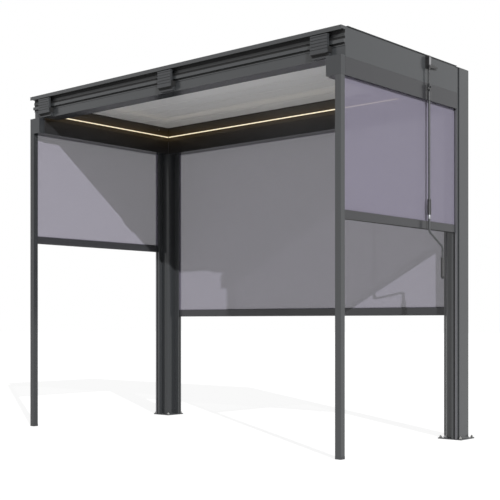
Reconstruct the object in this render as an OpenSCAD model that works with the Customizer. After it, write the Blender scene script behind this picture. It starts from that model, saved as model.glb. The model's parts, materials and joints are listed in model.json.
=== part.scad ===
// Wall-mounted louvered pergola with zip screens, light strips and a screen crank.
// +X runs along the wall, the wall stands at -Y, +Z is up and z = 0 is the floor.

/* [Overall size] */
// Width over the outer faces of the side beams
width = 3000; // [2400:50:3600]
// Depth from the wall plane to the rear faces of the posts
depth = 1505; // [1400:5:1700]
// Height to the top of the beams
height = 2578; // [2300:2:2900]

/* [Frame] */
// Side of the square posts, also the width of the side and back beams
post_w = 124; // [110:2:150]
// Radius of the posts' inner edge
post_round = 38; // [10:2:44]
// How far the posts end below the top of the beams
post_drop = 9; // [0:1:20]
// Height of the side and back beams
beam_h = 187; // [180:1:200]
// Height of the wall beam
wall_beam_h = 180; // [175:1:184]
// Depth of the wall beam behind its rail
wall_beam_d = 122; // [90:1:140]
// How far the beams' front faces stand back from the wall plane
wall_gap = 46; // [42:1:50]
// Side of the base plates
plate_w = 183; // [170:1:200]
// Thickness of the base plates
plate_t = 8; // [6:1:12]

/* [Wall brackets] */
// Width of a wall bracket
bracket_w = 138; // [120:2:150]
// Centre of the left and right brackets, from the outer face
bracket_inset = 167; // [120:1:260]
// Radius of the anchor holes
anchor_r = 5.5; // [4:0.5:5.5]

/* [Screens] */
// Height of the screen cassettes under the beams
cassette_h = 110; // [100:1:130]
// Width of the guide rails
guide_w = 44; // [40:1:48]
// Depth of the wall-side guide rails
guide_d = 40; // [36:1:44]
// Depth of the guide rails on the posts
post_guide_d = 34; // [32:1:40]
// Width of the cassettes' end blocks
end_block_w = 112; // [90:1:120]
// Lower edge of the side screens
side_drop = 1430; // [300:1:2200]
// Lower edge of the back screen
back_drop = 865; // [300:1:2200]
// Height of the bottom bars
bar_h = 54; // [45:1:70]
// Thickness of the bottom bars
bar_t = 20; // [14:1:22]

/* [Light strips] */
// Height of the light strips above the beams' lower edge
light_up = 37; // [30:1:60]
// Start of the side light strips, from the wall plane
light_start = 248; // [180:1:400]

/* [Louvers] */
// Number of louvers
louver_count = 7; // [7:1:7]
// Thickness of a louver
louver_t = 42; // [38:1:44]
// Underside of the closed louvers, below the beams' top
louver_drop = 72; // [60:1:80]
// Seam between two closed louvers
seam = 5.5; // [5.5:0.5:8]
// How far a louver's lip reaches over the next one
lip = 16; // [12:1:16]

/* [Crank] */
// Crank position behind the wall plane
crank_back = 953; // [700:1:1200]
// Distance of the crank tube from the side beam
crank_out = 20; // [19:0.5:30]
// Radius of the crank tube
crank_r = 7.5; // [6.5:0.5:9]
// Sideways reach of the crank arm
crank_arm = 170; // [100:5:180]

/* [Hidden] */
$fn = 48;

frame_grey = "#55575a";
dark_grey = "#3c3e41";
fabric_grey = "#a09ba6";
warm_light = "#ffe9b0";
louver_grey = "#b9bbbd";
crank_black = "#232426";
crank_grey = "#6d6f72";

// Cuts reach this far past the faces that they open
cut = 1;

// Reference planes: x_side is the outer face, y_wall the wall, y_rear the posts' rear faces
plate_over = (plate_w - post_w) / 2;
x_side = width / 2;
x_in = x_side - post_w;
y_wall = -(depth + plate_over) / 2;
y_front = y_wall + wall_gap;
y_rear = y_wall + depth;
y_post = y_rear - post_w;
y_roof = y_front + wall_beam_d;
z_beam = height - beam_h;
z_cassette = z_beam - cassette_h;
z_post = height - post_drop;

// Rail on the wall beam's front face: heights are measured down from the rail's top
rail_drop = 7;
rail_wall = 4;
flange_t = 20;
rib_top = 43;
rib_foot = 61;
rib_out = 8;
ridge_top = 76;
ridge_foot = 100;
ridge_out = 26;
web_foot = 114;

// Wall brackets: heights are measured down from the rail's top
bracket_top = 32;
bracket_foot = 170;
bracket_groove = 44;
bracket_grooves = 5;
bracket_pitch = 19;
bracket_groove_h = 5;
bracket_groove_d = 4;
foot_top = 133;
hook_top = 154;
hook_h = 13;
hook_d = 20;
hook_w = 100;
anchor_x = 42;
anchor_d = 30;

// Fascia of the side beams: groove under the top edge, set-back strip at the wall end
top_groove = [4, 13, 7];
end_strip = 24;
end_strip_drop = 10;

// Corner anchors of the base plates, from the plates' edges
plate_anchor = 13;

// Guides and screens
slot_w = 12;
slot_d = 20;
cassette_slot_d = 25;
side_groove_w = 20;
side_groove_d = 12;
side_groove_gap = 5;
guide_lip = 12;
guide_lip_t = 8;
fabric_t = 2;
fabric_in = guide_w / 2;
fabric_up = 20;
screen_gap = 4;
bar_gap = 3;

// Light strips in grooves of the beams' inner faces
strip_h = 12;
strip_d = 6;
strip_z = z_beam + light_up;

// Louvers: the axis is in the middle of the section
roof_gap = 8;
end_gap = 6;
pitch = (y_post - y_roof - 2 * roof_gap + seam) / louver_count;
half = (pitch - seam) / 2;
axis_z = height - louver_drop + louver_t / 2;
pin_r = 8;
pin_clear = 1;
pin_l = 14;
bore_l = 20;
gutter_w = 14;
gutter_d = 12;
gutter_in = 6;

// Crank: heights of its sections
crank_x = x_side + crank_out;
crank_y = y_wall + crank_back;
gear_z = height - 90;
gear_h = 63;
gear_w = 28;
swivel_z = height - 228;
collar_end = swivel_z - 80;
tube_end = 1410;
arm_end = 1318;
handle_end = 1104;
bend_r = 36;
grip_r = 13;
upper_grip_z = 1519;
upper_grip_l = 105;
lower_grip_z = 1116;
lower_grip_l = 132;

function louver_y(i) = y_roof + roof_gap + half + i * pitch;

module left_right(side) {
    if (side < 0) mirror([1, 0, 0]) children();
    else children();
}

// Extrudes a y-z outline along X, between two x values
module along_x(x0, x1) {
    translate([x0, 0, 0])
        rotate([90, 0, 90])
            linear_extrude(x1 - x0)
                children();
}

// Extrudes an x-z outline along Y, between two y values
module along_y(y0, y1) {
    translate([0, y1, 0])
        rotate([90, 0, 0])
            linear_extrude(y1 - y0)
                children();
}

// Outline of a box tube
module box_section(w, h, wall) {
    difference() {
        square([w, h]);
        translate([wall, wall]) square([w - 2 * wall, h - 2 * wall]);
    }
}

// ---- wall side ----

module rail_section() {
    translate([0, -flange_t]) box_section(wall_gap, flange_t, rail_wall);
    translate([wall_gap - rail_wall, -web_foot]) square([rail_wall, web_foot - flange_t]);
    translate([wall_gap - rib_out, -rib_foot]) square([rib_out, rib_foot - rib_top]);
    translate([wall_gap - ridge_out, -ridge_foot])
        box_section(ridge_out, ridge_foot - ridge_top, rail_wall);
}

module wall_rail() {
    color(frame_grey)
        along_x(-x_side, x_side)
            translate([y_wall, height - rail_drop]) rail_section();
}

module wall_beam() {
    color(frame_grey)
        along_x(-x_in, x_in)
            translate([y_front, height - wall_beam_h])
                square([wall_beam_d, wall_beam_h]);
}

// Ribbed block with room for the rail's ridge and rib behind it
module bracket_section() {
    rail_room = 5;
    difference() {
        translate([0, -bracket_foot]) square([wall_gap - rail_wall, bracket_foot - bracket_top]);
        for (i = [0 : bracket_grooves - 1])
            translate([-cut, -bracket_groove - i * bracket_pitch - bracket_groove_h / 2])
                square([bracket_groove_d + cut, bracket_groove_h]);
        translate([wall_gap - ridge_out - rail_room, -ridge_foot - rail_room])
            square([ridge_out + rail_room, ridge_foot - rib_top + 2 * rail_room]);
    }
}

module wall_bracket(x) {
    foot_out = 4;
    shoulder_d = 14;
    color(dark_grey)
        translate([x, y_wall, height - rail_drop])
            difference() {
                along_x(-bracket_w / 2, bracket_w / 2) bracket_section();
                for (side = [-1, 1])
                    translate([side * (bracket_w - foot_out) / 2, 0, -foot_top / 2])
                        cube([foot_out + cut / 2, shoulder_d, foot_top], center = true);
                translate([-hook_w / 2, -cut, -hook_top - hook_h])
                    cube([hook_w, hook_d + cut, hook_h]);
                for (side = [-1, 1], row = [1.5, 3.5])
                    translate([side * anchor_x, -cut, -bracket_groove - row * bracket_pitch])
                        rotate([-90, 0, 0]) cylinder(h = anchor_d + cut, r = anchor_r);
            }
}

module wall_bracket_left() { wall_bracket(-x_side + bracket_inset); }
module wall_bracket_middle() { wall_bracket(0); }
module wall_bracket_right() { wall_bracket(x_side - bracket_inset); }

// ---- beams and posts ----

// x = 0 is the inner face, with the light strip's groove
module beam_section() {
    difference() {
        square([post_w, beam_h]);
        translate([-cut, light_up - strip_h / 2]) square([strip_d + cut, strip_h]);
    }
}

// The guides run up past the beam's ends
module back_beam() {
    color(frame_grey)
        difference() {
            along_x(-x_in, x_in)
                translate([y_post, z_beam]) beam_section();
            for (side = [-1, 1])
                left_right(side)
                    translate([x_in - post_guide_d, y_rear - guide_w, z_beam - cut])
                        cube([post_guide_d + cut, guide_w + cut, beam_h + 2 * cut]);
        }
}

module side_beam() {
    color(frame_grey)
        difference() {
            along_y(y_front, y_post)
                translate([x_in, z_beam]) beam_section();
            translate([x_side - top_groove[2], y_front + end_strip, height - top_groove[0] - top_groove[1]])
                cube([top_groove[2] + cut, depth, top_groove[1]]);
            translate([x_in - cut, y_front - cut, height - end_strip_drop])
                cube([post_w + 2 * cut, end_strip + cut, end_strip_drop + cut]);
            translate([x_side - guide_w, y_post - post_guide_d, z_beam - cut])
                cube([guide_w + cut, post_guide_d + cut, beam_h + 2 * cut]);
            for (i = [0 : louver_count - 1])
                translate([x_in - cut, louver_y(i), axis_z])
                    rotate([0, 90, 0]) cylinder(h = bore_l + cut, r = pin_r + pin_clear);
        }
}

module left_beam() { left_right(-1) side_beam(); }
module right_beam() { left_right(1) side_beam(); }

// Square outline with one round corner, at the origin
module post_section() {
    difference() {
        square(post_w);
        square(post_round);
    }
    translate([post_round, post_round]) circle(post_round);
}

module rear_post() {
    color(frame_grey)
        translate([x_in, y_post, plate_t])
            linear_extrude(z_post - plate_t)
                post_section();
}

module rear_left_post() { left_right(-1) rear_post(); }
module rear_right_post() { left_right(1) rear_post(); }

module base_plate() {
    bolt = plate_w / 2 - plate_anchor;
    color(frame_grey)
        translate([x_in + post_w / 2, y_post + post_w / 2, 0])
            difference() {
                translate([-plate_w / 2, -plate_w / 2, 0]) cube([plate_w, plate_w, plate_t]);
                for (x = [-bolt, bolt], y = [-bolt, bolt])
                    translate([x, y, -cut]) cylinder(h = plate_t + 2 * cut, r = anchor_r);
            }
}

module rear_left_base_plate() { left_right(-1) base_plate(); }
module rear_right_base_plate() { left_right(1) base_plate(); }

// ---- screens ----

// The cassette's slot faces down, where the fabric leaves it
module cassette_section() {
    difference() {
        square([post_w, cassette_h]);
        translate([post_w - fabric_in - slot_w / 2, -cut]) square([slot_w, cassette_slot_d + cut]);
    }
}

module side_cassette() {
    color(dark_grey)
        difference() {
            along_y(y_front, y_post)
                translate([x_in, z_cassette]) cassette_section();
            translate([x_side - guide_w, y_post - post_guide_d, z_cassette - cut])
                cube([guide_w + cut, post_guide_d + cut, cassette_h + 2 * cut]);
        }
}

module left_cassette() { left_right(-1) side_cassette(); }
module right_cassette() { left_right(1) side_cassette(); }

module back_cassette() {
    color(dark_grey)
        difference() {
            along_x(-x_in, x_in)
                translate([y_post, z_cassette]) cassette_section();
            for (side = [-1, 1])
                left_right(side)
                    translate([x_in - post_guide_d, y_rear - guide_w, z_cassette - cut])
                        cube([post_guide_d + cut, guide_w + cut, cassette_h + 2 * cut]);
        }
}

// Closes the cassette and the beam above it towards the wall
module end_block() {
    color(frame_grey)
        difference() {
            translate([x_side - end_block_w, y_wall, z_cassette])
                cube([end_block_w, wall_gap, height - wall_beam_h - z_cassette]);
            translate([x_side - fabric_in - slot_w / 2, y_wall + guide_d - slot_d, z_cassette - cut])
                cube([slot_w, wall_gap, cassette_slot_d + cut]);
        }
}

module left_end_block() { left_right(-1) end_block(); }
module right_end_block() { left_right(1) end_block(); }

// A guide rail standing in x-y, its slot open towards +Y
module guide(w, d, low, high) {
    translate([0, 0, low])
        linear_extrude(high - low)
            difference() {
                square([w, d]);
                translate([(w - slot_w) / 2, d - slot_d]) square([slot_w, slot_d + cut]);
            }
}

// A guide on a post, with a groove along its outer side at x = 0
module post_guide() {
    translate([0, 0, plate_t])
        linear_extrude(z_post - plate_t)
            difference() {
                square([guide_w, post_guide_d]);
                translate([(guide_w - slot_w) / 2, post_guide_d - slot_d]) square([slot_w, slot_d + cut]);
                translate([-cut, side_groove_gap]) square([side_groove_d + cut, side_groove_w]);
            }
}

module wall_guide() {
    color(frame_grey)
        translate([x_side - guide_w, y_wall, 0])
            guide(guide_w, guide_d, 0, z_cassette);
}

module rear_guide() {
    color(frame_grey)
        translate([x_side, y_post, 0])
            rotate([0, 0, 180]) post_guide();
}

// Under the cassette, a lip covers the fabric's edge from inside
module back_guide() {
    color(frame_grey)
        translate([x_in, y_rear, 0])
            mirror([0, 1, 0])
                rotate([0, 0, 90]) {
                    post_guide();
                    translate([guide_w - guide_lip_t, post_guide_d - cut, plate_t])
                        cube([guide_lip_t, guide_lip + cut, z_cassette - plate_t]);
                }
}

module wall_left_guide() { left_right(-1) wall_guide(); }
module wall_right_guide() { left_right(1) wall_guide(); }
module rear_left_guide() { left_right(-1) rear_guide(); }
module rear_right_guide() { left_right(1) rear_guide(); }
module back_left_guide() { left_right(-1) back_guide(); }
module back_right_guide() { left_right(1) back_guide(); }

// The fabric's edges run in the guides' slots
fabric_low_y = y_wall + guide_d - slot_d + screen_gap;
fabric_high_y = y_post - post_guide_d + slot_d - screen_gap;
fabric_half_x = x_in - post_guide_d + slot_d - screen_gap;
fabric_top = z_cassette + fabric_up;

module side_screen() {
    low = side_drop + bar_h;
    color(fabric_grey)
        translate([x_side - fabric_in - fabric_t / 2, fabric_low_y, low])
            cube([fabric_t, fabric_high_y - fabric_low_y, fabric_top - low]);
}

module left_screen() { left_right(-1) side_screen(); }
module right_screen() { left_right(1) side_screen(); }

module back_screen() {
    low = back_drop + bar_h;
    color(fabric_grey)
        translate([-fabric_half_x, y_rear - fabric_in - fabric_t / 2, low])
            cube([2 * fabric_half_x, fabric_t, fabric_top - low]);
}

module side_bar() {
    low = y_wall + guide_d + bar_gap;
    high = y_post - post_guide_d - bar_gap;
    color(dark_grey)
        translate([x_side - fabric_in - bar_t / 2, low, side_drop])
            cube([bar_t, high - low, bar_h]);
}

module left_bottom_bar() { left_right(-1) side_bar(); }
module right_bottom_bar() { left_right(1) side_bar(); }

module back_bottom_bar() {
    half_w = x_in - post_guide_d - bar_gap;
    color(dark_grey)
        translate([-half_w, y_rear - fabric_in - bar_t / 2, back_drop])
            cube([2 * half_w, bar_t, bar_h]);
}

// ---- light strips ----

module side_strip() {
    color(warm_light)
        translate([x_in, y_wall + light_start, strip_z - strip_h / 2])
            cube([strip_d, y_post - y_wall - light_start, strip_h]);
}

module left_light_strip() { left_right(-1) side_strip(); }
module right_light_strip() { left_right(1) side_strip(); }

module back_light_strip() {
    color(warm_light)
        translate([-x_in, y_post, strip_z - strip_h / 2])
            cube([2 * x_in, strip_d, strip_h]);
}

// ---- louvers ----

// Section about the louver's axis: flat underside, raised lip over the next louver
// at +Y and a rain gutter in the upper side at -Y; the last one ends plain
module louver_section(last) {
    t = louver_t / 2;
    reach = last ? 0 : lip;
    difference() {
        polygon([[-half, -t], [half, -t], [half + reach, t], [-half + lip, t]]);
        translate([-half + lip + gutter_in, t - gutter_d]) square([gutter_w, gutter_d + cut]);
    }
}

module louver(i) {
    last = i == louver_count - 1;
    l = x_in - end_gap;
    color(louver_grey)
        translate([0, louver_y(i), axis_z]) {
            along_x(-l, l) louver_section(last);
            for (side = [-1, 1])
                translate([side * l, 0, 0])
                    rotate([0, side * 90, 0])
                        cylinder(h = end_gap + pin_l, r = pin_r);
        }
}

module louver_1() { louver(0); }
module louver_2() { louver(1); }
module louver_3() { louver(2); }
module louver_4() { louver(3); }
module louver_5() { louver(4); }
module louver_6() { louver(5); }
module louver_7() { louver(6); }

// ---- crank ----

// A narrow gearbox stands out from the fascia on a small plate
module crank_gearbox() {
    plate_over_w = 6;
    plate_d = 5;
    reach = crank_out + 10;
    color(crank_black)
        translate([x_side, crank_y, gear_z]) {
            translate([0, -gear_w / 2 - plate_over_w, 0])
                cube([plate_d, gear_w + 2 * plate_over_w, gear_h]);
            translate([plate_d, -gear_w / 2, 0]) cube([reach - plate_d, gear_w, gear_h]);
        }
}

fork_w = 18;
fork_wall = 5;
fork_gap = 14;
fork_low = 9;
fork_high = 15;
yoke_h = 16;
shaft_r = 5;
pin_bore_r = 4.5;
link_pin_r = 4;
tongue_w = 12;
tongue_r = 9;
collar_r = 12;
collar_top = swivel_z - 20;
collar_bore = 50;

// Thin shaft under the gearbox, ending in a fork
module crank_link() {
    fork_out = fork_gap + 2 * fork_wall;
    shaft_z = swivel_z + fork_high + yoke_h;
    color(crank_black)
        translate([crank_x, crank_y, 0])
            difference() {
                union() {
                    translate([0, 0, shaft_z]) cylinder(h = gear_z - shaft_z, r = shaft_r);
                    translate([-fork_w / 2, -fork_out / 2, swivel_z + fork_high])
                        cube([fork_w, fork_out, yoke_h]);
                    for (y = [-fork_out / 2, fork_gap / 2])
                        translate([-fork_w / 2, y, swivel_z - fork_low])
                            cube([fork_w, fork_wall, fork_low + fork_high]);
                }
                translate([0, -fork_out / 2 - cut, swivel_z])
                    rotate([-90, 0, 0]) cylinder(h = fork_out + 2 * cut, r = pin_bore_r);
            }
}

// Tongue and pin in the fork, with the collar that holds the tube
module crank_joint() {
    pin_out = 2;
    pin_len = fork_gap + 2 * fork_wall + 2 * pin_out;
    color(crank_black)
        translate([crank_x, crank_y, 0]) {
            translate([0, -pin_len / 2, swivel_z])
                rotate([-90, 0, 0]) cylinder(h = pin_len, r = link_pin_r);
            translate([0, -tongue_w / 2, swivel_z])
                rotate([-90, 0, 0]) cylinder(h = tongue_w, r = tongue_r);
            translate([-tongue_r, -tongue_w / 2, collar_top])
                cube([2 * tongue_r, tongue_w, swivel_z - collar_top]);
            difference() {
                translate([0, 0, collar_end]) cylinder(h = collar_top - collar_end, r = collar_r);
                translate([0, 0, collar_end - cut]) cylinder(h = collar_bore + cut, r = crank_r);
            }
        }
}

// The spigot turns in the collar with 0.5 mm all round. The straight bars enter the
// bends a little, and are a hair thinner so that no two round walls coincide.
module crank_tube() {
    spigot_gap = 0.5;
    bar_in = 1;
    bar_r = crank_r - 0.05;
    spigot_top = collar_end + collar_bore - 2;
    tube_top = collar_end - 1;
    angle = atan2(crank_arm, tube_end - arm_end);
    bend_l = bend_r * tan(angle / 2);
    arm_l = norm([crank_arm, tube_end - arm_end]) - 2 * bend_l;
    upper_z = tube_end + bend_l;
    lower_z = arm_end - bend_l;
    color(crank_grey)
        translate([crank_x, crank_y, 0]) {
            translate([0, 0, tube_top - bar_in])
                cylinder(h = spigot_top - tube_top + bar_in, r = crank_r - spigot_gap);
            translate([0, 0, upper_z - bar_in]) cylinder(h = tube_top - upper_z + bar_in, r = bar_r);
            crank_bend([0, bend_r, upper_z], 180, angle);
            translate([0, bend_r * (1 - cos(angle)), upper_z - bend_r * sin(angle)])
                rotate([angle - 180, 0, 0])
                    translate([0, 0, -bar_in]) cylinder(h = arm_l + 2 * bar_in, r = bar_r);
            crank_bend([0, crank_arm - bend_r, lower_z], 0, angle);
            translate([0, crank_arm, handle_end])
                cylinder(h = lower_z - handle_end + bar_in, r = bar_r);
        }
}

// Round elbow about a centre in the crank's plane, from one angle on through another
module crank_bend(centre, from, angle) {
    translate(centre)
        rotate([90, 0, 90])
            rotate([0, 0, from])
                rotate_extrude(angle = angle)
                    translate([bend_r, 0]) circle(crank_r);
}

module grip(z, l) {
    translate([0, 0, z])
        difference() {
            cylinder(h = l, r = grip_r);
            translate([0, 0, -cut]) cylinder(h = l + 2 * cut, r = crank_r);
        }
}

module crank_upper_grip() {
    color(crank_black)
        translate([crank_x, crank_y, 0]) grip(upper_grip_z, upper_grip_l);
}

module crank_lower_grip() {
    color(crank_black)
        translate([crank_x, crank_y + crank_arm, 0]) grip(lower_grip_z, lower_grip_l);
}

wall_rail();
wall_beam();
back_beam();
left_beam();
right_beam();
wall_bracket_left();
wall_bracket_middle();
wall_bracket_right();
rear_left_post();
rear_right_post();
rear_left_base_plate();
rear_right_base_plate();
left_cassette();
right_cassette();
back_cassette();
left_end_block();
right_end_block();
wall_left_guide();
wall_right_guide();
rear_left_guide();
rear_right_guide();
back_left_guide();
back_right_guide();
left_screen();
right_screen();
back_screen();
left_bottom_bar();
right_bottom_bar();
back_bottom_bar();
left_light_strip();
right_light_strip();
back_light_strip();
louver_1();
louver_2();
louver_3();
louver_4();
louver_5();
louver_6();
louver_7();
crank_gearbox();
crank_link();
crank_joint();
crank_tube();
crank_upper_grip();
crank_lower_grip();
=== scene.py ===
import json
import math

import bmesh
import bpy
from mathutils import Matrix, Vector

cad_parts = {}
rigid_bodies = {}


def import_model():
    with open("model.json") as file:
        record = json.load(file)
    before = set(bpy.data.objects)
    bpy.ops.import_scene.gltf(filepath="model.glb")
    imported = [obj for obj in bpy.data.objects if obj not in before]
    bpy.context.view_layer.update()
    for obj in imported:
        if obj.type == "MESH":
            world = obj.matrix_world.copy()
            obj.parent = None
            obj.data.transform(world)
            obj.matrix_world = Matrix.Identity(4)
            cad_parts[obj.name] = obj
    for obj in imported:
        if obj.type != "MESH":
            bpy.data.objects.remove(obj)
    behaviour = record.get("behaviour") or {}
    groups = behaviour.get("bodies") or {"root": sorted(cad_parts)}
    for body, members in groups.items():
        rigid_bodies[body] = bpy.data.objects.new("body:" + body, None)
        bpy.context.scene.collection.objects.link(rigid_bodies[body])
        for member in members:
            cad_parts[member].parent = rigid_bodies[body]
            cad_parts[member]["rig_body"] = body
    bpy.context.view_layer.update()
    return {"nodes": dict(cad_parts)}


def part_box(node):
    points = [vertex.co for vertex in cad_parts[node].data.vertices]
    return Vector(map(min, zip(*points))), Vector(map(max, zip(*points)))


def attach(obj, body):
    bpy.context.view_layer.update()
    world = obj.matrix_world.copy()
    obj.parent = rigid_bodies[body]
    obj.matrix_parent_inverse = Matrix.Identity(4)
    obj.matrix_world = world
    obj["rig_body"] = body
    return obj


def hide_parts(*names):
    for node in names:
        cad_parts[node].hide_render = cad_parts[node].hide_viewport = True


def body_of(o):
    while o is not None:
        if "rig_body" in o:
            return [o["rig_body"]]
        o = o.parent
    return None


# A louvered pergola that stands against a wall, with three zip screens and a screen crank.
# Metres throughout; +X runs along the wall, the wall stands at -Y and z = 0 is the floor.
# Sections and turned profiles are written in millimetres.

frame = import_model()

MM = 0.001
SAME_POINT = 0.01 * MM
SMOOTH_BELOW = 14
TURNED_BELOW = 40
BEAD_BELOW = 50
NUT_BELOW = 32
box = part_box


# ---- node trees ----


def feed(tree, node, values):
    """The node's inputs by name or number: sockets are linked to them, and plain values set."""
    for name, value in values.items():
        if isinstance(value, bpy.types.NodeSocket):
            tree.links.new(value, node.inputs[name])
        else:
            node.inputs[name].default_value = value
    return node


def add_node(tree, kind, inputs=None, **settings):
    node = tree.nodes.new(kind)
    for name, value in settings.items():
        setattr(node, name, value)
    return feed(tree, node, inputs or {})


def math_node(tree, operation, a, b=0.0, c=0.0):
    return add_node(tree, "ShaderNodeMath", {0: a, 1: b, 2: c}, operation=operation).outputs[0]


def scaled(tree, colour, factor):
    """A colour or vector times a factor that changes over the surface."""
    inputs = {0: colour, "Scale": factor}
    return add_node(tree, "ShaderNodeVectorMath", inputs, operation="SCALE").outputs[0]


def mix_colour(tree, factor, a, b):
    """Colour a where the factor is 0 and b where it is 1."""
    inputs = {0: factor, 6: a, 7: b}
    return add_node(tree, "ShaderNodeMix", inputs, data_type="RGBA", blend_type="MIX").outputs[2]


def remap(tree, value, low, high, to_low, to_high):
    limits = {"From Min": low, "From Max": high, "To Min": to_low, "To Max": to_high}
    return add_node(tree, "ShaderNodeMapRange", {"Value": value, **limits}).outputs[0]


def noise(tree, where, scale, detail, roughness=0.5):
    inputs = {"Vector": where, "Scale": scale, "Detail": detail, "Roughness": roughness}
    return add_node(tree, "ShaderNodeTexNoise", inputs).outputs[0]


def object_place(tree):
    """The place of a point on its piece."""
    return add_node(tree, "ShaderNodeTexCoord").outputs["Object"]


def new_group(name, inputs, outputs):
    """An empty shader group with its sockets: (name, type, default) in and (name, type) out."""
    group = bpy.data.node_groups.new(name, "ShaderNodeTree")
    for label, kind, default in inputs:
        socket = group.interface.new_socket(label, in_out="INPUT", socket_type=kind)
        socket.default_value = default
    for label, kind in outputs:
        group.interface.new_socket(label, in_out="OUTPUT", socket_type=kind)
    given = group.nodes.new("NodeGroupInput").outputs
    return group, given, group.nodes.new("NodeGroupOutput")


FLOAT, COLOUR, VECTOR = "NodeSocketFloat", "NodeSocketColor", "NodeSocketVector"
WEAVE_PITCH, WEAVE_SLUB = 1.3 * MM, 0.08
DUST_COLOUR = (0.32, 0.31, 0.29, 1)
DUST_ROUGHER = 0.4
SPECK_ROUGHER = 0.06


def powder_coat_group():
    """Fine grain, slow drift of shade and settled dust of a powder-coated profile."""
    inputs = [("Colour", COLOUR, (0.1, 0.1, 0.1, 1)), ("Grain Scale", FLOAT, 900.0)]
    inputs += [("Drift", FLOAT, 0.06), ("Roughness", FLOAT, 0.25), ("Dust", FLOAT, 0.1)]
    outputs = [("Colour", COLOUR), ("Roughness", FLOAT), ("Height", FLOAT)]
    group, given, out = new_group("powder_coat", inputs, outputs)
    where = object_place(group)
    grain = noise(group, where, given["Grain Scale"], detail=3.0, roughness=0.6)
    drift = noise(group, where, scale=2.3, detail=3.0, roughness=0.55)
    specks = noise(group, where, scale=55.0, detail=4.0, roughness=0.7)
    shade = math_node(group, "SUBTRACT", drift, 0.5)
    shade = math_node(group, "MULTIPLY_ADD", shade, given["Drift"], 1.0)
    shade = math_node(group, "MULTIPLY", shade, remap(group, grain, 0.3, 0.7, 0.97, 1.03))
    normal = add_node(group, "ShaderNodeNewGeometry").outputs["Normal"]
    up = add_node(group, "ShaderNodeSeparateXYZ", {0: normal}).outputs["Z"]
    lying = remap(group, up, 0.75, 1.0, 0.0, 1.0)
    settled = math_node(group, "MULTIPLY", lying, remap(group, specks, 0.42, 0.75, 0.0, 1.0))
    settled = math_node(group, "MULTIPLY", settled, given["Dust"])
    uneven = math_node(group, "SUBTRACT", specks, 0.5)
    rough = math_node(group, "MULTIPLY_ADD", uneven, SPECK_ROUGHER, given["Roughness"])
    values = {
        "Colour": mix_colour(group, settled, scaled(group, given["Colour"], shade), DUST_COLOUR),
        "Roughness": math_node(group, "MULTIPLY_ADD", settled, DUST_ROUGHER, rough),
        "Height": grain,
    }
    feed(group, out, values)
    return group


def drawn_lines_group():
    """Faint lines along the direction in which a profile was extruded."""
    inputs = [("Across", VECTOR, (0.5, 400.0, 400.0)), ("Depth", FLOAT, 0.5)]
    group, given, out = new_group("drawn_lines", inputs, [("Shade", FLOAT), ("Height", FLOAT)])
    inputs = {0: object_place(group), 1: given["Across"]}
    stretched = add_node(group, "ShaderNodeVectorMath", inputs, operation="MULTIPLY").outputs[0]
    lines = noise(group, stretched, scale=1.0, detail=3.0, roughness=0.6)
    centred = math_node(group, "SUBTRACT", lines, 0.5)
    shade = math_node(group, "MULTIPLY_ADD", centred, given["Depth"], 1.0)
    feed(group, out, {"Shade": shade, "Height": lines})
    return group


def weave_group():
    """Plain weave of round yarns: how much yarn is in front, its height and the holes between."""
    inputs = [("Pitch", FLOAT, WEAVE_PITCH), ("Slub", FLOAT, WEAVE_SLUB)]
    inputs += [("Yarn Cover", FLOAT, 0.86), ("Hole Cover", FLOAT, 0.6)]
    outputs = [("Shade", FLOAT), ("Height", FLOAT), ("Cover", FLOAT)]
    group, given, out = new_group("screen_weave", inputs, outputs)
    where = object_place(group)
    axes = add_node(group, "ShaderNodeSeparateXYZ", {0: where})
    along = math_node(group, "ADD", axes.outputs["X"], axes.outputs["Y"])
    waves = []
    for place in (along, axes.outputs["Z"]):
        turns = math_node(group, "DIVIDE", place, given["Pitch"])
        waves.append(math_node(group, "SINE", math_node(group, "MULTIPLY", turns, math.pi)))
    weft, warp = waves
    over = math_node(group, "ABSOLUTE", math_node(group, "MULTIPLY", weft, warp))
    round_weft = math_node(group, "ABSOLUTE", weft)
    yarn = math_node(group, "MAXIMUM", round_weft, math_node(group, "ABSOLUTE", warp))
    uneven = math_node(group, "SUBTRACT", noise(group, where, scale=9.0, detail=5.0, roughness=0.65), 0.5)
    shade = math_node(group, "MULTIPLY_ADD", uneven, given["Slub"], 1.0)
    hole = remap(group, yarn, 0.25, 0.6, 1.0, 0.0)
    values = {
        # Shade is slub tone that changes at random, together with painted shade next to the holes between the
        # yarns.
        "Shade": math_node(group, "MULTIPLY", shade, remap(group, yarn, 0.3, 1.0, 0.86, 1.03)),
        "Height": math_node(group, "MULTIPLY_ADD", over, 0.5, yarn),
        "Cover": remap(group, hole, 0.0, 1.0, given["Yarn Cover"], given["Hole Cover"]),
    }
    feed(group, out, values)
    return group


def painted_strip_glow_group():
    """Where a strip's painted glow falls, a band around its height on the faces inside the frame, and those
    inside faces, which take painted shade.
    """
    inputs = [("Height", FLOAT, 2.4), ("Reach", FLOAT, 0.02)]
    inputs += [("Inside X", FLOAT, 1.4), ("Inside Y", FLOAT, 0.6)]
    group, given, out = new_group("painted_strip_glow", inputs, [("Glow", FLOAT), ("Inside", FLOAT)])
    axes = add_node(group, "ShaderNodeSeparateXYZ", {0: object_place(group)})
    away = math_node(group, "SUBTRACT", axes.outputs["Z"], given["Height"])
    away = math_node(group, "DIVIDE", math_node(group, "ABSOLUTE", away), given["Reach"])
    fall = math_node(group, "EXPONENT", math_node(group, "MULTIPLY", away, -1.0))
    across = math_node(group, "ABSOLUTE", axes.outputs["X"])
    in_x = math_node(group, "LESS_THAN", across, given["Inside X"])
    in_y = math_node(group, "LESS_THAN", axes.outputs["Y"], given["Inside Y"])
    inside = math_node(group, "MULTIPLY", in_x, in_y)
    feed(group, out, {"Inside": inside, "Glow": math_node(group, "MULTIPLY", fall, inside)})
    return group


POWDER_COAT = powder_coat_group()
DRAWN_LINES = drawn_lines_group()
WEAVE = weave_group()
PAINTED_STRIP_GLOW = painted_strip_glow_group()


# ---- materials ----


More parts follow.
